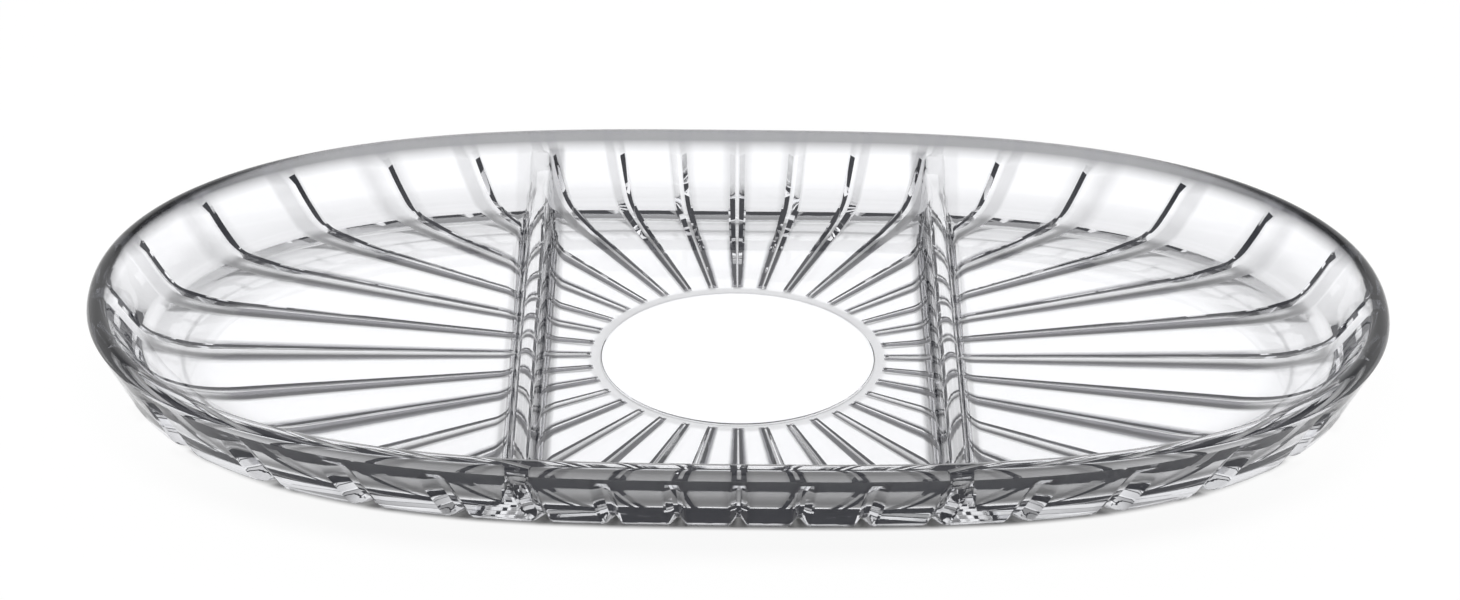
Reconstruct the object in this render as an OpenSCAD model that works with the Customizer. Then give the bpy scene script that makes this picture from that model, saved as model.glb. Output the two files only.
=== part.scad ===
// Oval relish tray of clear pressed glass: three compartments, two cross dividers and a
// full-round rim. V grooves fan out under the floor from a plain round medallion,
// bend round the base's outer corner and climb the wall to just under the rim.
// The real tray is one moulding, so the pieces here are its named regions, which meet
// face to face. Lengths are in millimetres, +Z is up and the table is at zero.

/* [Outline] */
// Length over the rim
tray_l = 330; // [280:5:380]
// Width over the rim
tray_w = 187; // [170:1:220]
// Height of the rim's crest above the table
tray_h = 23; // [21:0.5:30]
// Flatness of the oval's long sides, where 2 is a plain ellipse
side_power = 3; // [2.2:0.1:3.4]
// Flatness of the oval's ends, where 2 is a plain ellipse
end_power = 2.1; // [2:0.1:2.8]

/* [Rim and wall] */
// Thickness of the rim, twice the radius of its half-round lip
rim_t = 5.6; // [4:0.2:6.6]
// How far the outside of the wall leans in from rim to table at the two ends
end_lean = 10; // [6:0.2:12]
// How far the outside of the wall leans in from rim to table at the two long sides
side_lean = 10.8; // [8:0.2:13]
// How much further the inside leans in, so that the wall thickens downwards
extra_lean = 6; // [0:0.1:7]
// Radius of the outer corner between wall and base
corner_r = 5.3; // [1:0.1:6]
// Radius of the inner sweep from wall to floor
sweep_r = 29; // [16:1:32]

/* [Floor] */
// Thickness of the floor
floor_t = 5; // [4:0.5:6.5]
// Distance from the rim in to the edge of the flat face that the tray rests on
base_inset = 23; // [19:0.5:27]
// Angle at which the underside rises from that edge to the outer corner
base_angle = 5; // [2:0.5:8]

/* [Medallion] */
// Radius of the plain face in the middle of the base
medallion_r = 35; // [24:1:38]
// Thickness of the medallion's disc, less than the floor's
medallion_t = 2.5; // [1.5:0.1:3]
// Width of the sloped margin round the plain face
margin_w = 2.4; // [1.6:0.2:3.6]
// How far the margin rises from the plain face to its outer edge
margin_h = 0.4; // [0.2:0.1:0.8]

/* [Grooves] */
// Number of grooves round the tray
groove_count = 36; // [28:4:40]
// Half the angle that one groove takes up, seen from the centre
groove_half_angle = 1.5; // [1:0.05:1.8]
// Depth of a groove as a share of its distance from the centre
groove_depth_share = 0.016; // [0.01:0.001:0.018]
// Plain land between the medallion's margin and the grooves' inner ends
groove_land = 0.4; // [0.3:0.1:2]
// Length of the sloped inner end of a groove
groove_end_l = 0.8; // [0.6:0.1:2]
// Drop from the rim's ledge to the top of the grooves
groove_drop = 1.6; // [1:0.1:2.4]
// Height of the sloped top end of a groove
groove_top_h = 3; // [2:0.1:4]
// Radius of the bend where a groove turns from the underside up the wall
groove_bend_r = 10; // [4:0.5:12]

/* [Dividers] */
// Distance of each divider from the tray's centre
divider_x = 53; // [48:1:60]
// Height of the dividers above the floor
divider_h = 10; // [7:0.5:11]
// Width of a divider's foot with its fillets
divider_w = 14; // [12:0.5:18]
// Radius of a divider's crest
divider_top_r = 2.4; // [1.8:0.1:2.6]
// Radius of the fillet between divider and floor
divider_foot_r = 3.6; // [2:0.2:4]

/* [Hidden] */

glass = [0.84, 0.89, 0.92];
// How far a cutting block runs past the faces that it cuts
overrun = corner_r;

// The lip turns from the ledge, where the outer wall ends, over the crest to the inner wall
lip_r = rim_t / 2;
ledge_z = tray_h - lip_r;
lip_steps = 8;
sweep_steps = 6;
crest_steps = 6;
foot_steps = 4;

// Where the spokes of a groove's pitch stand: its two edges round the apex, then the land
pitch = 360 / groove_count;
land_shares = [0.25, 0.5, 0.75];
land_step = pitch - 2 * groove_half_angle;
pitch_offsets = concat([-groove_half_angle, 0, groove_half_angle],
    [for (s = land_shares) groove_half_angle + s * land_step]);
spokes_per_pitch = len(pitch_offsets);
apex_spoke = 1;
land_spoke = 4;
quarter = groove_count / 4;
// The end walls reach round to the land after this groove
end_reach = floor(groove_count / 10);

groove_top_z = ledge_z - groove_drop;
groove_full_z = groove_top_z - groove_top_h;
groove_start_r = medallion_r + margin_w + groove_land;
// Steps in which the radius of the oval is found
oval_steps = 7;
// The sweep takes up this share of the wall's height at most
sweep_share = 0.95;

// Radius of the oval at an angle, found from outside in a few steps, because its sides and
// its ends are curved by different powers
function nearer(r, along, across, steps) =
    steps == 0 ? r
    : let (u = pow(r * along, side_power), v = pow(r * across, end_power))
    nearer(r - r * (u + v - 1) / (side_power * u + end_power * v), along, across, steps - 1);
function oval_r(a, half_l, half_w) =
    let (along = abs(cos(a)) / half_l, across = abs(sin(a)) / half_w)
    nearer(1 / max(along, across), along, across, oval_steps);

// Radius of a ring that lies inside the rim by one inset at the ends and one at the sides
function ring_r(a, end_inset, side_inset) = oval_r(a, tray_l / 2 - end_inset, tray_w / 2 - side_inset);

// The outer wall leans in evenly from ledge to table
function lean_at(lean, z) = lean * (1 - z / ledge_z);
function wall_r(a, z) = ring_r(a, lean_at(end_lean, z), lean_at(side_lean, z));

// The inner wall leaves the lip at its own slope, then sweeps into the floor
end_inner_lean = end_lean + extra_lean;
side_inner_lean = side_lean + extra_lean;
function slope(lean) = atan2(ledge_z, lean);
function level_t(lean) = lip_r * (1 + 1 / sin(slope(lean)));
function swept_r(lean) = min(sweep_r, sweep_share * (ledge_z - floor_t) / (1 - cos(slope(lean))));
function sweep_run(lean) = swept_r(lean) * tan(slope(lean) / 2);
function sweep_top(lean) = floor_t + sweep_run(lean) * sin(slope(lean));
function sweep_reach(lean, rise) = sqrt(max(0, rise * (2 * swept_r(lean) - rise)));
function cavity_inset(lean, z) =
    z >= sweep_top(lean) ? level_t(lean) + lean_at(lean, z)
    : level_t(lean) + lean_at(lean, floor_t) + sweep_run(lean) - sweep_reach(lean, z - floor_t);
function cavity_r(a, z) = ring_r(a, cavity_inset(end_inner_lean, z), cavity_inset(side_inner_lean, z));
function floor_r(a) = cavity_r(a, floor_t);

// Heights of the cavity's rings, from the ledge down to the floor
sweep_angle = slope(side_inner_lean);
swept = swept_r(side_inner_lean);
cavity_heights = concat([ledge_z],
    [for (i = [sweep_steps : -1 : 1]) floor_t + swept * (1 - cos(sweep_angle * i / sweep_steps))],
    [floor_t]);

// Angle of a spoke, counted on from the groove at zero, and whether it runs along an apex
function spoke_angle(i) =
    let (turn = floor(i / spokes_per_pitch))
    turn * pitch + pitch_offsets[i - turn * spokes_per_pitch];
function spoke_kind(i) = i - floor(i / spokes_per_pitch) * spokes_per_pitch;
function land_of(groove) = groove * spokes_per_pitch + land_spoke;

function wall_slope(a) = atan2(ledge_z, wall_r(a, ledge_z) - wall_r(a, 0));
function base_r(a) = ring_r(a, base_inset, base_inset);
function groove_depth(a) = groove_depth_share * wall_r(a, 0);
function on_base(r) = [r, groove_depth_share * r];

// Arc of a radius that joins two slopes where they cross
turn_shares = [0, 0.35, 0.7, 1];
function turn(cross, from_slope, to_slope, radius) =
    let (start = cross - radius * tan((to_slope - from_slope) / 2) * [cos(from_slope), sin(from_slope)],
        middle = start + radius * [-sin(from_slope), cos(from_slope)])
    [for (share = turn_shares) let (t = from_slope + (to_slope - from_slope) * share)
        middle + radius * [sin(t), -cos(t)]];

// Where a line that rises outwards from the table, lifted by a share of its radius, meets
// one that comes down the wall to a radius at the table
function crossing(foot_r, rise, lift_share, table_r, fall) =
    let (r = (table_r * tan(fall) - foot_r * tan(rise)) / (tan(fall) - tan(rise) - lift_share))
    [r, (r - table_r) * tan(fall)];

// Outside of the wall as radius and height, on the land: base, rounded corner, wall
function land_outside(a) =
    let (s = wall_slope(a), foot_r = base_r(a))
    concat([[floor_r(a), 0], [foot_r, 0]],
        turn(crossing(foot_r, base_angle, 0, wall_r(a, 0), s), base_angle, s, corner_r),
        [for (z = [groove_full_z, groove_top_z, ledge_z]) [wall_r(a, z), z]]);

// The same along a groove's apex, which lies deeper
function apex_outside(a) =
    let (s = wall_slope(a), inset = groove_depth(a) / sin(s), foot_r = base_r(a),
        rise = atan(tan(base_angle) + groove_depth_share),
        cross = crossing(foot_r, base_angle, groove_depth_share, wall_r(a, 0) - inset, s))
    concat([on_base(floor_r(a)), on_base(foot_r)],
        turn(cross, rise, s, groove_bend_r),
        [[wall_r(a, groove_full_z) - inset, groove_full_z],
            [wall_r(a, groove_top_z), groove_top_z], [wall_r(a, ledge_z), ledge_z]]);

function wall_section(i) =
    let (a = spoke_angle(i))
    concat(spoke_kind(i) == apex_spoke ? apex_outside(a) : land_outside(a),
        [for (z = cavity_heights) [cavity_r(a, z), z]]);

// The lip's arc, closed by a flat seat on the wall
function rim_section(i) =
    let (a = spoke_angle(i))
    concat([for (k = [0 : lip_steps])
        let (t = (90 + wall_slope(a)) * k / lip_steps, inset = lip_r * (1 - cos(t)))
        [ring_r(a, inset, inset), ledge_z + lip_r * sin(t)]],
        [[cavity_r(a, ledge_z), ledge_z]]);

// Inside of the wall from the ledge down to the floor
function cavity_section(i) = [for (z = cavity_heights) [cavity_r(spoke_angle(i), z), z]];

function place(section, a) = [for (p = section) [p[0] * cos(a), p[0] * sin(a), p[1]]];

// Skin between neighbouring sections of n points, n strips where they are closed and one less
// where they are open; the diagonal leans towards each apex
function skin(first, count, n, total, strips) =
    [for (j = [0 : count - 1]) for (k = [0 : strips - 1])
        let (j2 = (j + 1) % total, k2 = (k + 1) % n,
            a = j * n + k, b = j2 * n + k, c = j2 * n + k2, d = j * n + k2)
        each spoke_kind(first + j) == 0 ? [[a, b, d], [b, c, d]] : [[a, b, c], [a, c, d]]];

// Faces with their points the other way round, for sections that run the other way round
function turned_over(faces) = [for (f = faces) [for (k = [len(f) - 1 : -1 : 0]) f[k]]];

// Fans from a middle point to the first or the last points of the sections
function roof(middle, count, n, total) =
    [for (j = [0 : count - 1]) [middle, (j + 1) % total * n, j * n]];
function ground(middle, count, n, total) =
    [for (j = [0 : count - 1]) [middle, j * n + n - 1, (j + 1) % total * n + n - 1]];

// A closed oval ring of one section
module oval_ring() {
    total = groove_count * spokes_per_pitch;
    n = len(rim_section(0));
    points = [for (i = [0 : total - 1]) each place(rim_section(i), spoke_angle(i))];
    polyhedron(points = points, faces = turned_over(skin(0, total, n, total, n)));
}

// A stretch of wall from one spoke to another, closed at both ends
module wall_stretch(first, last) {
    total = last - first + 1;
    n = len(wall_section(first));
    points = [for (i = [first : last]) each place(wall_section(i), spoke_angle(i))];
    ends = [[for (k = [0 : n - 1]) k], [for (k = [n - 1 : -1 : 0]) (total - 1) * n + k]];
    polyhedron(points = points, faces = turned_over(concat(skin(first, total - 1, n, total, n), ends)));
}

// The part of the tray's inside that lies to the right of the middle, closed at the axis
module right_cavity() {
    first = land_of(-quarter);
    last = land_of(quarter - 1);
    n = len(cavity_heights);
    total = last - first + 1;
    low = total * n;
    high = low + 1;
    points = [for (i = [first : last]) each place(cavity_section(i), spoke_angle(i))];
    first_end = concat([low, high], [for (k = [0 : n - 1]) k]);
    last_end = concat([high, low], [for (k = [n - 1 : -1 : 0]) (total - 1) * n + k]);
    polyhedron(points = concat(points, [[0, 0, floor_t], [0, 0, ledge_z]]),
        faces = concat(skin(first, total - 1, n, total, n - 1), roof(high, total - 1, n, total),
            ground(low, total - 1, n, total), [first_end, last_end]));
}

// The floor's edge and underside, from the top of the edge in to where the grooves start
function floor_section(i) =
    let (edge_r = floor_r(spoke_angle(i)), end_r = groove_start_r + groove_end_l)
    concat([[edge_r, floor_t]],
        spoke_kind(i) == apex_spoke ? [on_base(edge_r), on_base(end_r)] : [[edge_r, 0], [end_r, 0]],
        [[groove_start_r, 0]]);

// The whole floor as one disc with its grooves
module floor_disc() {
    total = groove_count * spokes_per_pitch;
    n = len(floor_section(0));
    low = total * n;
    high = low + 1;
    points = [for (i = [0 : total - 1]) each place(floor_section(i), spoke_angle(i))];
    polyhedron(points = concat(points, [[0, 0, 0], [0, 0, floor_t]]),
        faces = concat(skin(0, total, n, total, n - 1), roof(high, total, n, total),
            ground(low, total, n, total)));
}

// The floor between two distances from the middle
module floor_slab(from_x, to_x) {
    intersection() {
        floor_disc();
        translate([from_x, -tray_w / 2, -overrun])
            cube([to_x - from_x, tray_w, floor_t + 2 * overrun]);
    }
}

// Half section of the medallion: plain face, sloped margin and the disc's upright edge
function medallion_section() =
    [[0, 0], [medallion_r, 0], [medallion_r + margin_w, margin_h],
        [medallion_r + margin_w, medallion_t], [0, medallion_t]];

// Cross-section of a divider: crest arc, straight flanks, arcs into the floor
function divider_outline() =
    let (crest_z = floor_t + divider_h - divider_top_r, foot_z = floor_t + divider_foot_r,
        foot_x = divider_w / 2, gap = norm([foot_x, crest_z - foot_z]),
        flank = atan2(crest_z - foot_z, foot_x) + asin((divider_top_r + divider_foot_r) / gap),
        foot = [for (i = [0 : foot_steps]) let (t = flank * i / foot_steps)
            [foot_x - divider_foot_r * sin(t), foot_z - divider_foot_r * cos(t)]],
        crest = [for (i = [0 : crest_steps]) let (t = flank * (1 - 2 * i / crest_steps))
            [divider_top_r * sin(t), crest_z + divider_top_r * cos(t)]])
    concat(foot, crest, [for (i = [foot_steps : -1 : 0]) [-foot[i][0], foot[i][1]]]);

// A divider runs across the tray and ends on the inside of the wall
module divider() {
    intersection() {
        right_cavity();
        translate([divider_x, tray_w / 2, 0])
            rotate([90, 0, 0])
                linear_extrude(height = tray_w)
                    polygon(divider_outline());
    }
}

module rim() {
    color(glass) oval_ring();
}

module right_end_wall() {
    color(glass) wall_stretch(land_of(-end_reach - 1), land_of(end_reach));
}

module back_wall() {
    color(glass) wall_stretch(land_of(end_reach), land_of(2 * quarter - end_reach - 1));
}

module left_end_wall() {
    color(glass) wall_stretch(land_of(2 * quarter - end_reach - 1), land_of(2 * quarter + end_reach));
}

module front_wall() {
    color(glass) wall_stretch(land_of(2 * quarter + end_reach), land_of(4 * quarter - end_reach - 1));
}

module left_floor() {
    color(glass) floor_slab(-tray_l / 2, -divider_x);
}

module right_floor() {
    color(glass) floor_slab(divider_x, tray_l / 2);
}

// The middle floor has a round pocket that the medallion fills
module centre_floor() {
    color(glass)
        difference() {
            floor_slab(-divider_x, divider_x);
            translate([0, 0, -margin_h])
                cylinder(r = medallion_r + margin_w, h = medallion_t + margin_h, $fn = 96);
        }
}

module medallion() {
    color(glass) rotate_extrude($fn = 96) polygon(medallion_section());
}

module right_divider() {
    color(glass) divider();
}

module left_divider() {
    color(glass) mirror([1, 0, 0]) divider();
}

rim();
front_wall();
back_wall();
left_end_wall();
right_end_wall();
left_floor();
centre_floor();
right_floor();
medallion();
left_divider();
right_divider();
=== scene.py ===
import math

import bmesh
import bpy
from mathutils import Matrix, Vector


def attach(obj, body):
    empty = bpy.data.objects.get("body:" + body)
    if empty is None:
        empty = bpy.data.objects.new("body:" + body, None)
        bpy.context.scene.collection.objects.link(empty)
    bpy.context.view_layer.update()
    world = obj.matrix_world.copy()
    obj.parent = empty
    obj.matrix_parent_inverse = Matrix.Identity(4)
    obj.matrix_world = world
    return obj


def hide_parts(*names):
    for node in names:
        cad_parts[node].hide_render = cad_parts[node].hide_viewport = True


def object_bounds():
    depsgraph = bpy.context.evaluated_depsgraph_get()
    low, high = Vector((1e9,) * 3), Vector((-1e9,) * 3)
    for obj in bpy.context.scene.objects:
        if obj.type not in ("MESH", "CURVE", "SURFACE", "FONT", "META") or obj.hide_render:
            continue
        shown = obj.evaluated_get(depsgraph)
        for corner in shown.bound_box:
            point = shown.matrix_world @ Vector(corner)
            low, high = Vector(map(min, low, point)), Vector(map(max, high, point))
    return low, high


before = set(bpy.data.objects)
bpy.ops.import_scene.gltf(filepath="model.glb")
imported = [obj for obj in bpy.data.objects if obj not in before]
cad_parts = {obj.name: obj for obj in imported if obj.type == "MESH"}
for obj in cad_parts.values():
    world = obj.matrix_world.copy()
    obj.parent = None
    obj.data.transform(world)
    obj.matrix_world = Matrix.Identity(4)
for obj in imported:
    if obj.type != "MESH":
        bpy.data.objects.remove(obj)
cadLow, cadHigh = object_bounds()
mm = 0.001

# one moulding of clear pressed glass, so its regions are dressed as one seamless skin
tray = {
    "sidePower": 3.0,
    "endPower": 2.1,
    "lipRadius": 2.8 * mm,
    "endLean": 10 * mm,
    "sideLean": 10.8 * mm,
    "extraLean": 6 * mm,  # more lean inside than outside
    "floorThickness": 5 * mm,
    "sweepRadius": 29 * mm,
    "baseInset": 23 * mm,
    "baseAngle": math.radians(5),
    "cornerRadius": 5.3 * mm,
    "turnFrom": 78 * mm,  # past here the mesh columns inside turn from straight to radial
    "floorPull": 18 * mm,  # how far turned columns come in along the middle of the floor
}
halfLength = (cadHigh.x - cadLow.x) / 2
halfWidth = (cadHigh.y - cadLow.y) / 2
ledgeHeight = cadHigh.z - tray["lipRadius"]

medallion = {
    "radius": 35 * mm,
    "margin": 2.4 * mm,
    "rise": 0.4 * mm,
    "lineWidth": 0.2 * mm,
    "lineRise": 0.14 * mm,
    "settle": 22 * mm,  # the lands outside the margin come down to the table over this distance
    "landLead": 0.3 * mm,  # an extra row this far before the lands start
}

groove = {
    "pitch": math.radians(10),
    "halfAngle": math.radians(1.5),
    "depthShare": 0.022,
    "land": 0.4 * mm,
    "innerEnd": 0.8 * mm,
    "topDrop": 1.6 * mm,
    "topEnd": 3 * mm,
    "bendRadius": 10 * mm,
    "apexFlat": 0.25,
    "edgeSoftness": 0.12,
    "landSteps": 6,
}

divider = {
    "fromMiddle": 53 * mm,
    "height": 10 * mm,
    "footWidth": 14 * mm,
    "crestRadius": 2.4 * mm,
    "footRadius": 3.6 * mm,
    "blendPower": 3.5,
    "topFade": 2 * mm,  # it sinks into the wall over this height below the ledge
    "crestTurns": (0, 12, 24, 36, 48, 60, 70, 78),  # columns round its crest and feet, in degrees
    "footTurns": range(0, 80, 8),
    "footMargin": 0.4 * mm,
}

# rows of the skin: steps round the inside, and shares of each stretch on the floor and outside
innerRows = {"lip": 15, "wall": 5, "sweep": 15}
floorShares = (0.97, 0.9, 0.8, 0.68, 0.55, 0.42, 0.28, 0.14, 0.0)
outerRows = {
    "medallion": (0.0, 0.5, 0.9),
    "grooveEnd": (0.5, 1.0),
    "floor": (0.17, 0.34, 0.51, 0.68, 0.8, 0.86, 0.92, 1.0),
    "edge": (0.04, 0.12, 0.16, 0.4, 0.7),
    "cornerSteps": 8,
    "wall": (0.33, 0.67, 1.0),
    "grooveTop": (0.5, 1.0),
    "ledge": (0.5, 0.9, 1.0),
}


def between(first, last, share):
    return first + (last - first) * share


# 0 below a range and 1 above it, with a smooth rise inside it
def rising(value, low, high):
    share = min(1.0, max(0.0, (value - low) / (high - low)))
    return share * share * (3 - 2 * share)


# radius of the oval at an angle, whose sides and ends are curved by different powers
def ovalRadius(angle, length, width):
    newtonSteps = 8
    along, across = abs(math.cos(angle)) / length, abs(math.sin(angle)) / width
    sides, ends = tray["sidePower"], tray["endPower"]
    r = 1 / max(along, across)
    for _ in range(newtonSteps):
        u, v = (r * along) ** sides, (r * across) ** ends
        r -= r * (u + v - 1) / (sides * u + ends * v)
    return r


def ringRadius(angle, endInset, sideInset):
    return ovalRadius(angle, halfLength - endInset, halfWidth - sideInset)


def ringWidthAt(x, length, width):
    return width * max(0.0, 1 - (min(x, length) / length) ** tray["sidePower"]) ** (1 / tray["endPower"])


# outer wall: leans in evenly from the ledge to the table
def outerRadius(angle, z):
    share = 1 - z / ledgeHeight
    return ringRadius(angle, tray["endLean"] * share, tray["sideLean"] * share)


def wallSlope(lean):
    return math.atan2(ledgeHeight, lean)


def slopeAt(angle):
    return wallSlope(outerRadius(angle, ledgeHeight) - outerRadius(angle, 0))


# inner profile from the ledge over the lip and down to the floor, as inset and height
def innerProfile(lean):
    slope, lip, sweep = wallSlope(lean), tray["lipRadius"], tray["sweepRadius"]
    floor = tray["floorThickness"]
    points = []
    for i in range(innerRows["lip"] + 1):
        turn = (math.pi / 2 + slope) * i / innerRows["lip"]
        points.append((lip * (1 - math.cos(turn)), ledgeHeight + lip * math.sin(turn)))
    level = lip * (1 + 1 / math.sin(slope))
    reach = sweep * math.tan(slope / 2)
    top = floor + reach * math.sin(slope)
    lipFoot = points[-1][1]
    for i in range(1, innerRows["wall"] + 1):
        z = lipFoot + (top - lipFoot) * i / innerRows["wall"]
        points.append((level + lean * (1 - z / ledgeHeight), z))
    foot = level + lean * (1 - floor / ledgeHeight) + reach
    for i in range(1, innerRows["sweep"] + 1):
        turn = slope * (1 - i / innerRows["sweep"])
        points.append((foot - sweep * math.sin(turn), floor + sweep * (1 - math.cos(turn))))
    return points


endProfile = innerProfile(tray["endLean"] + tray["extraLean"])
sideProfile = innerProfile(tray["sideLean"] + tray["extraLean"])


# cross-section of a divider: height over the floor at a distance from its middle
def dividerHeight(offset):
    offset = abs(offset)
    crest, foot = divider["crestRadius"], divider["footRadius"]
    crestMid = divider["height"] - crest
    footAt = divider["footWidth"] / 2
    if offset >= footAt:
        return 0.0
    gap = math.hypot(footAt, crestMid - foot)
    flank = math.atan2(crestMid - foot, footAt) + math.asin((crest + foot) / gap)
    crestEnd = crest * math.sin(flank)
    if offset <= crestEnd:
        return crestMid + math.sqrt(crest ** 2 - offset ** 2)
    if offset >= footAt - foot * math.sin(flank):
        return foot - math.sqrt(max(0.0, foot ** 2 - (footAt - offset) ** 2))
    high = crestMid + crest * math.cos(flank)
    return high - (offset - crestEnd) * math.tan(flank)


# mesh columns that follow a divider, rounded so that equal ones fall together
def dividerColumns():
    digits = 7
    crest, foot, footAt = divider["crestRadius"], divider["footRadius"], divider["footWidth"] / 2
    offsets = [crest * math.sin(math.radians(a)) for a in divider["crestTurns"]]
    offsets += [footAt - foot * math.sin(math.radians(a)) for a in divider["footTurns"]]
    offsets += [(crest + footAt - foot) / 2, footAt + divider["footMargin"]]
    return sorted({round(divider["fromMiddle"] + side * a, digits) for a in offsets for side in (-1, 1)})


# spokes of a quarter turn: groove edges and flats, land between them, and the dividers' columns
def spokeAngles():
    digits, slack = 8, 1e-7
    half, soft, steps = groove["halfAngle"], groove["edgeSoftness"], groove["landSteps"]
    lastGroove = round(math.pi / 2 / groove["pitch"])
    angles = set()
    for k in range(lastGroove + 1):
        middle = k * groove["pitch"]
        for share in (0, groove["apexFlat"], 1 - soft, 1 + soft):
            angles.update((round(middle + share * half, digits), round(middle - share * half, digits)))
        landStart = middle + (1 + soft) * half
        landStep = (groove["pitch"] - 2 * (1 + soft) * half) / steps
        angles.update(round(landStart + i * landStep, digits) for i in range(1, steps))
    for x in dividerColumns():
        angles.add(round(math.atan2(ringWidthAt(x, halfLength, halfWidth), x), digits))
    inQuarter = sorted(a for a in angles if -slack <= a <= math.pi / 2 + slack)
    return [0.0] + inQuarter[1:-1] + [math.pi / 2]


angles = spokeAngles()


# share of a groove's depth at an angle: flat at the apex, with softened edges
def grooveFactor(angle):
    nearest = round(angle / groove["pitch"]) * groove["pitch"]
    u = abs(angle - nearest) / groove["halfAngle"]
    soft = groove["edgeSoftness"]
    if u >= 1 + soft:
        return 0.0
    if u > 1 - soft:
        return (1 + soft - u) ** 2 / (4 * soft)
    return 1 - max(u, groove["apexFlat"])


# inside: a point of a column, on the lip, wall and sweep and then in to the middle of the floor
def insidePoint(angle, row):
    tipX = outerRadius(angle, ledgeHeight) * math.cos(angle)
    lean = rising(tipX, tray["turnFrom"], halfLength)
    profileEnd = min(row, len(endProfile) - 1)
    endInset, endZ = endProfile[profileEnd]
    sideInset, sideZ = sideProfile[profileEnd]
    slopeEnd, slopeSide = wallSlope(tray["endLean"]), wallSlope(tray["sideLean"])
    mix = min(1.0, max(0.0, (slopeAt(angle) - slopeEnd) / (slopeSide - slopeEnd)))
    z = between(endZ, sideZ, mix)
    length, width = halfLength - endInset, halfWidth - sideInset
    x = tipX * (1 - lean * (1 - length / halfLength))
    y = ringWidthAt(x, length, width)
    if angle == 0.0:
        x, y = length, 0.0
    if row >= len(endProfile):
        share = floorShares[row - len(endProfile)]
        y *= share
        x -= (1 - share) * lean * tray["floorPull"]
    ridge = dividerHeight(x - divider["fromMiddle"])
    rise = z - tray["floorThickness"]
    power = divider["blendPower"]
    if ridge > 0 and z < ledgeHeight:
        fade = min(1.0, (ledgeHeight - z) / divider["topFade"])
        rise = (max(rise, 0.0) ** power + (ridge * fade) ** power) ** (1 / power)
    elif z < ledgeHeight:
        rise = max(rise, 0.0)
    return Vector((x, y, tray["floorThickness"] + rise))


# arc of a radius that joins two slopes where they cross, in even steps
def turnArc(cross, fromSlope, toSlope, radius):
    steps = outerRows["cornerSteps"]
    reach = radius * math.tan((toSlope - fromSlope) / 2)
    startR, startZ = cross[0] - reach * math.cos(fromSlope), cross[1] - reach * math.sin(fromSlope)
    middleR, middleZ = startR - radius * math.sin(fromSlope), startZ + radius * math.cos(fromSlope)
    points = []
    for i in range(steps + 1):
        t = fromSlope + (toSlope - fromSlope) * i / steps
        points.append((middleR + radius * math.sin(t), middleZ - radius * math.cos(t)))
    return points


# where the underside, lifted by a share of its radius, meets the wall that comes down to a radius
def baseCrossing(footR, lift, tableR, fall):
    rise = math.tan(tray["baseAngle"])
    r = (tableR * math.tan(fall) - footR * rise) / (math.tan(fall) - rise - lift)
    return r, (r - tableR) * math.tan(fall)


# outside: rows of radius and height on the land and in a groove's apex, from middle to ledge
def outsideRows(angle):
    med, margin, line = medallion["radius"], medallion["margin"], medallion["lineWidth"]
    rise, step = medallion["rise"], medallion["lineRise"]
    depth = groove["depthShare"]
    start = med + margin + groove["land"]
    firstR = start + groove["innerEnd"]
    slope = slopeAt(angle)
    footR = ringRadius(angle, tray["baseInset"], tray["baseInset"])
    inset = depth * outerRadius(angle, 0) / math.sin(slope)

    def landZ(r):
        raised = rise * max(0.0, 1 - (r - med - margin) / medallion["settle"])
        return raised + max(0.0, r - footR) * math.tan(tray["baseAngle"])

    plain = [(med * i, 0) for i in outerRows["medallion"]]
    plain += [(med - line, 0), (med, step)]
    plain += [(med + line, between(step, rise, line / margin)), (med + margin, rise)]
    plain += [(start - medallion["landLead"], landZ(start)), (start, landZ(start))]
    rows = [(p, p) for p in plain]
    for i in outerRows["grooveEnd"]:
        r = between(start, firstR, i)
        rows.append(((r, landZ(r)), (r, landZ(r) + depth * r * i)))
    landCross = baseCrossing(footR, 0, outerRadius(angle, 0), slope)
    apexCross = baseCrossing(footR, depth, outerRadius(angle, 0) - inset, slope)
    apexRise = math.atan(math.tan(tray["baseAngle"]) + depth)
    landArc = turnArc(landCross, tray["baseAngle"], slope, tray["cornerRadius"])
    apexArc = turnArc(apexCross, apexRise, slope, groove["bendRadius"])
    for i in outerRows["floor"]:
        r = between(firstR, footR, i)
        rows.append(((r, landZ(r)), (r, landZ(r) + depth * r)))
    for i in outerRows["edge"]:
        r, a = between(footR, landArc[0][0], i), between(footR, apexArc[0][0], i)
        rows.append(((r, landZ(r)), (a, landZ(a) + depth * a)))
    rows += list(zip(landArc, apexArc))
    topZ = ledgeHeight - groove["topDrop"]
    fullZ = topZ - groove["topEnd"]
    for i in outerRows["wall"]:
        z, apexZ = between(landArc[-1][1], fullZ, i), between(apexArc[-1][1], fullZ, i)
        rows.append(((outerRadius(angle, z), z), (outerRadius(angle, apexZ) - inset, apexZ)))
    for i in outerRows["grooveTop"]:
        z = between(fullZ, topZ, i)
        rows.append(((outerRadius(angle, z), z), (outerRadius(angle, z) - inset * (1 - i), z)))
    for i in outerRows["ledge"]:
        z = between(topZ, ledgeHeight, i)
        rows.append(((outerRadius(angle, z), z), (outerRadius(angle, z), z)))
    return rows


outsideRowsOf = {a: outsideRows(a) for a in angles}


def outsidePoint(angle, row):
    land, apex = outsideRowsOf[angle][row]
    depth = grooveFactor(angle)
    r, z = between(land[0], apex[0], depth), between(land[1], apex[1], depth)
    return Vector((r * math.cos(angle), r * math.sin(angle), z))


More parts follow.
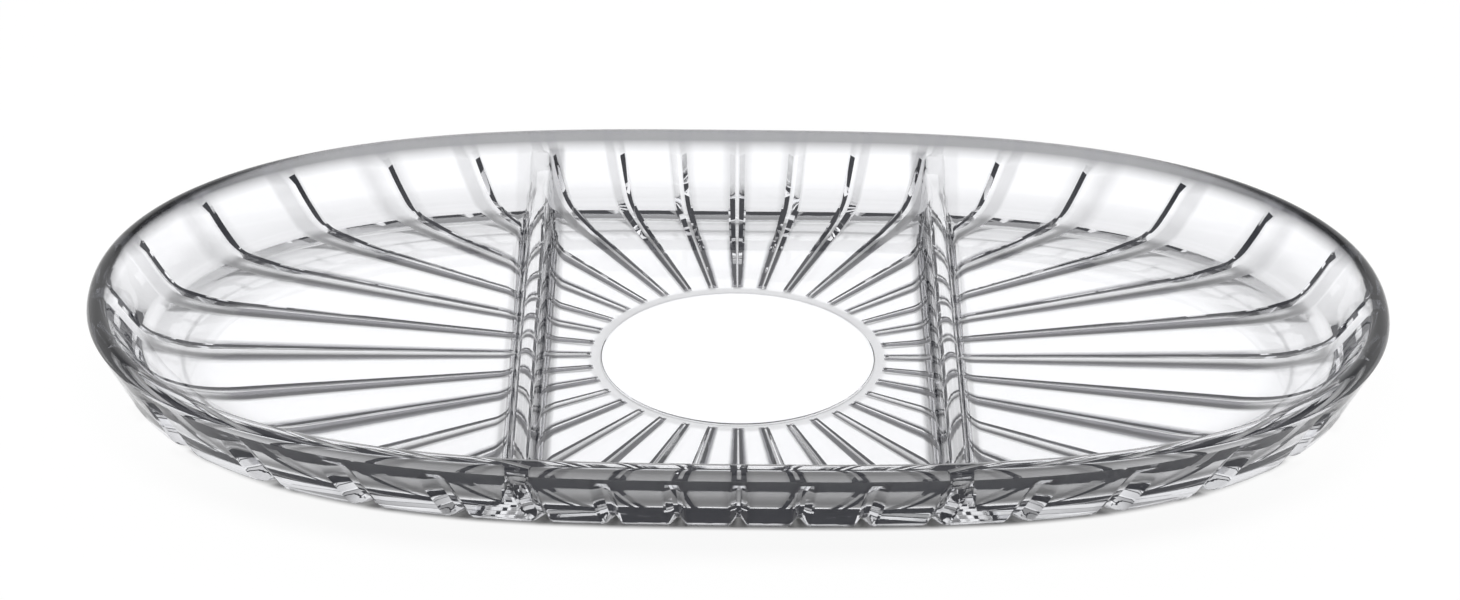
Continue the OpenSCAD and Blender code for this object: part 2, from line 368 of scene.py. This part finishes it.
# where the skin is marked for the glass: painted shade on the rim, shaded base, grooves, margin, and painted
# shade on divider flanks and groove faces
marks = {
    "lipTurn": 142,  # degrees from the ledge over the lip to its inner foot, about
    "lipFrom": 73,  # the rim's painted shade fades out between these turns, which endTurn moves at the ends
    "lipTo": 90,
    "endTurn": 51,
    "endRange": (0.6, 0.95),
    "sideRim": 0.88,
    "wallFrom": 4.6 * mm,  # outside, the rim's painted shade grows to full between these drops from the ledge
    "wallTo": 1.6 * mm,
    "baseBefore": 4.5 * mm,  # shade starts this far inside the edge of the resting face
    "baseRamp": 2 * mm,
    "baseEase": (4 * mm, 13 * mm),  # past the edge it fades by baseFade over this range
    "baseFade": 0.85,
    "edgeBand": (0.2 * mm, 1.4 * mm),  # past the edge
    "edgeLine": 12,
    "marginLine": 3.2,
    "cutTo": 3 * mm,  # grooves lower than this get no backLight
    "cutRamp": 14 * mm,  # painted shade on groove faces goes from floorCut to wallCut over this distance
    "floorCut": 1.3,
    "wallCut": 0.35,
    "flankFrom": (1.6 * mm, 2.6 * mm),
    "flankTo": (5.6 * mm, 7.0 * mm),
    "innerFlank": 0.7,
    "outerFlank": 0.22,
}
markNames = ("rimPaintedShade", "baseShade", "groovePart", "marginPart", "paintedShadePart")


# 0 along the sides and 1 round the ends
def endness(angle):
    return rising(math.cos(angle) ** 2, *marks["endRange"])


# strength of the rim's painted shade: a little less along the sides than round the ends
def rimStrength(angle):
    return between(marks["sideRim"], 1.0, endness(angle))


# painted shade on a divider's flanks, darker on the side that faces the middle of the tray
def flankPaintedShade(point):
    offset = point.x - divider["fromMiddle"]
    reach = abs(offset)
    if reach > divider["footWidth"] / 2 or point.z > ledgeHeight:
        return 0.0
    flank = rising(reach, *marks["flankFrom"]) * (1 - rising(reach, *marks["flankTo"]))
    return flank * (marks["innerFlank"] if offset < 0 else marks["outerFlank"])


# inside, painted shade darkens the lip from the ledge up, and the dividers' flanks get painted shade
def insideMarks(angle, row):
    turn = row / innerRows["lip"] * marks["lipTurn"]
    shift = marks["endTurn"] * endness(angle)
    tint = rimStrength(angle) * (1 - rising(turn, marks["lipFrom"] + shift, marks["lipTo"] + shift))
    return {"rimPaintedShade": tint, "paintedShadePart": flankPaintedShade(insidePoint(angle, row))}


# shade round the edge of the resting face, with a line where the underside starts to rise
def edgeShade(r, edge):
    lineFrom, lineTo = marks["edgeBand"]
    if edge + lineFrom < r < edge + lineTo:
        return marks["edgeLine"]
    start = edge - marks["baseBefore"]
    easeFrom, easeTo = marks["baseEase"]
    fade = 1 - marks["baseFade"] * rising(r, edge + easeFrom, edge + easeTo)
    return rising(r, start, start + marks["baseRamp"]) * fade


def outsideMarks(angle, row):
    r, z = outsideRowsOf[angle][row][0]
    edge = ringRadius(angle, tray["baseInset"], tray["baseInset"])
    depth = grooveFactor(angle)
    marginStart, marginEnd = medallion["radius"], medallion["radius"] + medallion["margin"]
    # painted shade on the outer wall just below the ledge, and on groove faces
    rim = rising(z, ledgeHeight - marks["wallFrom"], ledgeHeight - marks["wallTo"])
    inMargin = marginStart <= r <= marginEnd + groove["land"]
    inGroove = depth > 0 and marginEnd < r and z < marks["cutTo"]
    onFace = 0 < depth < 1 - groove["apexFlat"] and r > marginEnd
    paintedShadeShare = between(marks["floorCut"], marks["wallCut"], rising(r, edge - marks["cutRamp"], edge))
    return {
        "rimPaintedShade": rimStrength(angle) * rim,
        "baseShade": edgeShade(r, edge) * (1 - depth),
        "groovePart": float(inGroove),
        "marginPart": marks["marginLine"] if r == marginStart else float(inMargin),
        "paintedShadePart": onFace * paintedShadeShare,
    }


# a grid of columns and rows, shaped and marked by functions, as a quarter of the tray
def shapedGrid(bm, rows, shape, mark):
    columns = len(angles)
    made = bmesh.ops.create_grid(bm, x_segments=columns - 1, y_segments=rows - 1, size=1)
    for v in made["verts"]:
        angle = angles[round((v.co.x + 1) / 2 * (columns - 1))]
        row = round((v.co.y + 1) / 2 * (rows - 1))
        v.co = shape(angle, row)
        for name, value in mark(angle, row).items():
            v[bm.verts.layers.float[name]] = value


# points and edges closer than these, in metres, are merged or dissolved
skin = {"mergeDistance": 0.5e-6, "sliver": 0.2e-6, "sharpAngle": math.radians(13)}


def makeSkin():
    insideCount = len(endProfile) + len(floorShares)
    outsideCount = len(outsideRowsOf[angles[0]])
    bm = bmesh.new()
    for name in markNames:
        bm.verts.layers.float.new(name)
    shapedGrid(bm, insideCount, insidePoint, insideMarks)
    shapedGrid(bm, outsideCount, outsidePoint, outsideMarks)
    print("quarter skin:", len(angles), "spokes,", insideCount, "rows inside,", outsideCount, "rows outside")
    bmesh.ops.remove_doubles(bm, verts=bm.verts, dist=skin["mergeDistance"])
    for axis in ("X", "Y"):
        whole = bm.verts[:] + bm.edges[:] + bm.faces[:]
        bmesh.ops.mirror(bm, geom=whole, matrix=Matrix(), merge_dist=-1, axis=axis)
        bmesh.ops.remove_doubles(bm, verts=bm.verts, dist=skin["mergeDistance"])
    bmesh.ops.dissolve_degenerate(bm, edges=bm.edges, dist=skin["sliver"])
    bmesh.ops.recalc_face_normals(bm, faces=bm.faces)
    openEdges = sum(1 for e in bm.edges if len(e.link_faces) != 2)
    triangles = sum(len(f.verts) - 2 for f in bm.faces)
    for f in bm.faces:
        f.smooth = True
    for e in bm.edges:
        if len(e.link_faces) == 2 and e.calc_face_angle() > skin["sharpAngle"]:
            e.smooth = False
    mesh = bpy.data.meshes.new("glassTray")
    bm.to_mesh(mesh)
    bm.free()
    print("glass tray:", triangles, "triangles,", openEdges, "open edges")
    piece = bpy.data.objects.new("glassTray", mesh)
    bpy.context.scene.collection.objects.link(piece)
    return piece


def newMaterial(name):
    material = bpy.data.materials.new(name)
    material.use_nodes = True
    material.node_tree.nodes.clear()
    return material, material.node_tree


# a node whose inputs are linked to other nodes' outputs or set to values
def newNode(tree, kind, inputs=None):
    node = tree.nodes.new("ShaderNode" + kind)
    for name, value in (inputs or {}).items():
        if isinstance(value, bpy.types.NodeSocket):
            tree.links.new(value, node.inputs[name])
        else:
            node.inputs[name].default_value = value
    return node


def mathNode(tree, operation, *values):
    node = newNode(tree, "Math", dict(enumerate(values)))
    node.operation = operation
    return node.outputs[0]


# goes smoothly from one limit to the other as a value crosses a range
def stretched(tree, value, fromRange, toRange):
    limits = {"From Min": fromRange[0], "From Max": fromRange[1], "To Min": toRange[0], "To Max": toRange[1]}
    node = newNode(tree, "MapRange", {"Value": value, **limits})
    node.interpolation_type = "SMOOTHSTEP"
    return node.outputs["Result"]


def mixedColour(tree, share, first, second):
    return newNode(tree, "MixRGB", {"Fac": share, "Color1": first, "Color2": second}).outputs["Color"]


def mixedShader(tree, share, first, second):
    return newNode(tree, "MixShader", {"Fac": share, 1: first.outputs[0], 2: second.outputs[0]})


def meshMark(tree, name):
    node = newNode(tree, "Attribute")
    node.attribute_name = name
    return node.outputs["Fac"]


def splitPlace(tree, where):
    return newNode(tree, "SeparateXYZ", {"Vector": where}).outputs


# rays that left the glass, by reflection or through it
def glassRay(tree, path):
    return mathNode(tree, "MAXIMUM", path["Is Glossy Ray"], path["Is Transmission Ray"])


# 1 on an oval through two reaches from the middle, more outside it
def ovalShare(tree, place, reaches):
    total = 0.0
    for axis, reach, power in zip("XY", reaches, (tray["sidePower"], tray["endPower"])):
        share = mathNode(tree, "DIVIDE", mathNode(tree, "ABSOLUTE", place[axis]), reach)
        total = mathNode(tree, "ADD", mathNode(tree, "POWER", share, power), total)
    return total


clearGlass = {
    "tint": (0.975, 0.98, 1.0),
    # painted shade: a near-black colour for the marked rim
    "rimPaintedShade": (0.008, 0.0085, 0.011),
    # painted shade: a dark gray for the marked divider flanks and groove faces
    "paintedShadeColour": (0.1, 0.1, 0.115),
    "frontRimShade": 0.1,
    "rimShadeRange": (-70 * mm, -30 * mm),  # the rim's painted shade grows to full along Y, from its front share
    "ior": 1.52,
    "roughness": 0.0,
    "flatShade": 1.0,  # light through flat glass and through steep glass
    "steepShade": 0.05,
    "shadePower": 10.0,
    "backLight": 0.88,  # least light through the back, and by endPull towards the ends
    "backRange": (-70 * mm, 30 * mm),
    "endPull": 0.42,
    "baseShade": 0.05,  # light left in the base's full shade, in front and at the back
    "backShade": 0.97,
    "baseRange": (-60 * mm, -20 * mm),  # the base's shade weakens along Y
    "marginShade": 0.32,
    "mostReflections": 2.5,  # past these a path inside the glass ends in deepGlow
    "deepGlow": (0.032, 0.033, 0.04),
}

# long shallow waves that a mould leaves in pressed glass
pressing = {"waveScale": 55.0, "waveDetail": 1.5, "waveHeight": 0.06 * mm}


# clear, with painted shade darkening the marked rim and the marked faces
def glassColour(tree, y):
    side = stretched(tree, y, clearGlass["rimShadeRange"], (clearGlass["frontRimShade"], 1.0))
    rim = mathNode(tree, "MULTIPLY", meshMark(tree, "rimPaintedShade"), side)
    tint = mixedColour(tree, rim, (*clearGlass["tint"], 1), (*clearGlass["rimPaintedShade"], 1))
    paintedShadeShare = mathNode(tree, "MINIMUM", meshMark(tree, "paintedShadePart"), 1.0)
    return mixedColour(tree, paintedShadeShare, tint, (*clearGlass["paintedShadeColour"], 1))


def pressedWaves(tree, where):
    inputs = {"Vector": where, "Scale": pressing["waveScale"], "Detail": pressing["waveDetail"]}
    waves = newNode(tree, "TexNoise", inputs).outputs["Fac"]
    inputs = {"Height": waves, "Strength": 1, "Distance": pressing["waveHeight"]}
    return newNode(tree, "Bump", inputs).outputs["Normal"]


# share of light that falls straight through: most where the glass lies flat, and along the back
def lightThrough(tree, place):
    normal = newNode(tree, "NewGeometry").outputs["Normal"]
    upright = mathNode(tree, "ABSOLUTE", splitPlace(tree, normal)["Z"])
    level = mathNode(tree, "POWER", upright, clearGlass["shadePower"])
    spread = mathNode(tree, "MULTIPLY", level, clearGlass["flatShade"] - clearGlass["steepShade"])
    shade = mathNode(tree, "ADD", spread, clearGlass["steepShade"])

    sideways = mathNode(tree, "MULTIPLY", mathNode(tree, "ABSOLUTE", place["X"]), clearGlass["endPull"])
    behind = mathNode(tree, "ADD", place["Y"], sideways)
    back = stretched(tree, behind, clearGlass["backRange"], (0.0, clearGlass["backLight"]))
    plain = mathNode(tree, "SUBTRACT", 1.0, meshMark(tree, "groovePart"))
    shade = mathNode(tree, "MAXIMUM", shade, mathNode(tree, "MULTIPLY", back, plain))

    shares = (1 - clearGlass["baseShade"], 1 - clearGlass["backShade"])
    side = stretched(tree, place["Y"], clearGlass["baseRange"], shares)
    base = mathNode(tree, "SUBTRACT", 1.0, mathNode(tree, "MULTIPLY", meshMark(tree, "baseShade"), side))
    base = mathNode(tree, "MAXIMUM", base, clearGlass["baseShade"])
    shade = mathNode(tree, "MULTIPLY", shade, base)

    margin = mathNode(tree, "MULTIPLY", meshMark(tree, "marginPart"), clearGlass["marginShade"])
    return mathNode(tree, "MULTIPLY", shade, mathNode(tree, "SUBTRACT", 1.0, margin))


# glass for every ray but shadow and diffuse ones, which it lets through straight and thinned
def makeGlass():
    material, tree = newMaterial("clearPressedGlass")
    where = newNode(tree, "TexCoord").outputs["Object"]
    place = splitPlace(tree, where)
    glass = newNode(tree, "BsdfPrincipled", {
        "Transmission Weight": 1,
        "IOR": clearGlass["ior"],
        "Roughness": clearGlass["roughness"],
        "Base Color": glassColour(tree, place["Y"]),
        "Normal": pressedWaves(tree, where),
    })
    through = newNode(tree, "BsdfTransparent", {"Color": lightThrough(tree, place)})
    path = newNode(tree, "LightPath").outputs
    light = mathNode(tree, "MAXIMUM", path["Is Shadow Ray"], path["Is Diffuse Ray"])
    mixed = mixedShader(tree, light, glass, through)
    lost = mathNode(tree, "GREATER_THAN", path["Glossy Depth"], clearGlass["mostReflections"])
    deep = newNode(tree, "Emission", {"Color": (*clearGlass["deepGlow"], 1)})
    whole = mixedShader(tree, lost, mixed, deep)
    newNode(tree, "OutputMaterial", {"Surface": whole.outputs[0]})
    return material


glassTray = makeSkin()
glassTray.data.materials.append(makeGlass())
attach(glassTray, "root")
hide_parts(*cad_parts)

# plain white ground, which outside the tray's foot is mostly lit by itself for the camera
ground = {
    "size": 6.0,
    "gap": 0.3 * mm,
    "white": (0.93, 0.93, 0.93),
    "cameraGlow": 0.93,
    "glassGlow": 0.15,
    "foot": (155 * mm, 82.7 * mm),
    "footEdge": (0.92, 0.985),
}


def makeGroundWhite():
    material, tree = newMaterial("whiteGround")
    path = newNode(tree, "LightPath").outputs
    place = splitPlace(tree, newNode(tree, "TexCoord").outputs["Object"])
    foot = ovalShare(tree, place, ground["foot"])
    outside = stretched(tree, foot, ground["footEdge"], (0.0, ground["cameraGlow"]))
    seen = mathNode(tree, "MULTIPLY", path["Is Camera Ray"], outside)
    inGlass = mathNode(tree, "MULTIPLY", glassRay(tree, path), ground["glassGlow"])
    share = mathNode(tree, "MAXIMUM", seen, inGlass)
    paper = newNode(tree, "BsdfDiffuse", {"Color": (*ground["white"], 1)})
    glow = newNode(tree, "Emission", {"Strength": 1})
    newNode(tree, "OutputMaterial", {"Surface": mixedShader(tree, share, paper, glow).outputs[0]})
    return material


def makeGround():
    bm = bmesh.new()
    bmesh.ops.create_grid(bm, x_segments=1, y_segments=1, size=ground["size"] / 2)
    bmesh.ops.translate(bm, verts=bm.verts, vec=(0, 0, -ground["gap"]))
    mesh = bpy.data.meshes.new("ground")
    bm.to_mesh(mesh)
    bm.free()
    mesh.materials.append(makeGroundWhite())
    floor = bpy.data.objects.new("ground", mesh)
    bpy.context.scene.collection.objects.link(floor)
    print("ground:", ground["size"], "m square")


makeGround()

# soft studio: a round softbox and two skies, given as stops of height and level
# the first sky lights, white low down and dim above, and the second is what glass shows
studio = {
    "lightStops": [(0.0, 1.0), (0.54, 1.0), (0.62, 0.1), (1.0, 0.06)],
    "glassStops": [(0.0, 1.0), (0.5, 1.0), (0.6, 0.35), (0.72, 0.35), (0.82, 0.75), (1.0, 0.9)],
    "blueShare": 1.01,
    "backdrop": (0.8, 0.8, 0.8),
    "boxHeight": 1.2,
    "boxSize": 0.7,
    "boxPower": 12.5,
}


# background whose level depends on the height above the horizon
def makeSky(tree, height, stops):
    ramp = newNode(tree, "ValToRGB", {"Fac": height})
    elements = ramp.color_ramp.elements
    while len(elements) < len(stops):
        elements.new(0.5)
    for element, (position, level) in zip(elements, stops):
        element.position = position
        element.color = (level, level, level * studio["blueShare"], 1)
    return newNode(tree, "Background", {"Color": ramp.outputs["Color"], "Strength": 1})


def makeWorld():
    world = bpy.data.worlds.new("studio")
    bpy.context.scene.world = world
    world.use_nodes = True
    tree = world.node_tree
    tree.nodes.clear()
    path = newNode(tree, "LightPath").outputs
    height = splitPlace(tree, newNode(tree, "TexCoord").outputs["Generated"])["Z"]
    around = makeSky(tree, height, studio["lightStops"])
    inGlass = makeSky(tree, height, studio["glassStops"])
    lighting = mixedShader(tree, glassRay(tree, path), around, inGlass)
    backdrop = newNode(tree, "Background", {"Color": (*studio["backdrop"], 1), "Strength": 1})
    whole = mixedShader(tree, path["Is Camera Ray"], lighting, backdrop)
    newNode(tree, "OutputWorld", {"Surface": whole.outputs[0]})


def makeSoftbox():
    data = bpy.data.lights.new("softbox", "AREA")
    data.shape = "DISK"
    data.size = studio["boxSize"]
    data.energy = studio["boxPower"]
    box = bpy.data.objects.new("softbox", data)
    box.location = (0, 0, studio["boxHeight"])
    box.visible_glossy = False
    box.visible_transmission = False
    bpy.context.scene.collection.objects.link(box)
    print("softbox:", studio["boxSize"], "m wide,", studio["boxHeight"], "m up")


makeWorld()
makeSoftbox()

# camera fitted to the photograph: the tray's middle falls below and right of the frame's
view = {
    "elevation": 28.744,
    "azimuth": -0.518,
    "roll": 0.794,
    "distance": 1.2563,
    "lens": 120.93,
    "sensor": 36,
    "frameWidth": 1460,
    "up": 66.9,  # in pixels of the frame, as left is
    "left": 7.6,
    "clip": (0.05, 50),
}


def makeCamera():
    data = bpy.data.cameras.new("camera")
    camera = bpy.data.objects.new("camera", data)
    bpy.context.scene.collection.objects.link(camera)
    data.lens = view["lens"]
    data.sensor_width = view["sensor"]
    data.clip_start, data.clip_end = view["clip"]
    az, el = math.radians(view["azimuth"]), math.radians(view["elevation"])
    right = Vector((math.cos(az), math.sin(az), 0))
    ahead = Vector((-math.sin(az), math.cos(az), 0))
    back = -ahead * math.cos(el) + Vector((0, 0, 1)) * math.sin(el)
    turned = Matrix((right, back.cross(right), back)).transposed()
    focalPixels = view["lens"] / view["sensor"] * view["frameWidth"]
    turned = turned @ Matrix.Rotation(math.radians(view["roll"]), 3, "Z")
    turned = turned @ Matrix.Rotation(math.atan(view["up"] / focalPixels), 3, "X")
    turned = turned @ Matrix.Rotation(math.atan(view["left"] / focalPixels), 3, "Y")
    camera.matrix_world = Matrix.Translation(back * view["distance"]) @ turned.to_4x4()
    bpy.context.scene.camera = camera
    print("camera:", view["lens"], "mm lens,", view["distance"], "m away")


makeCamera()
bpy.context.scene.view_settings.view_transform = "Standard"
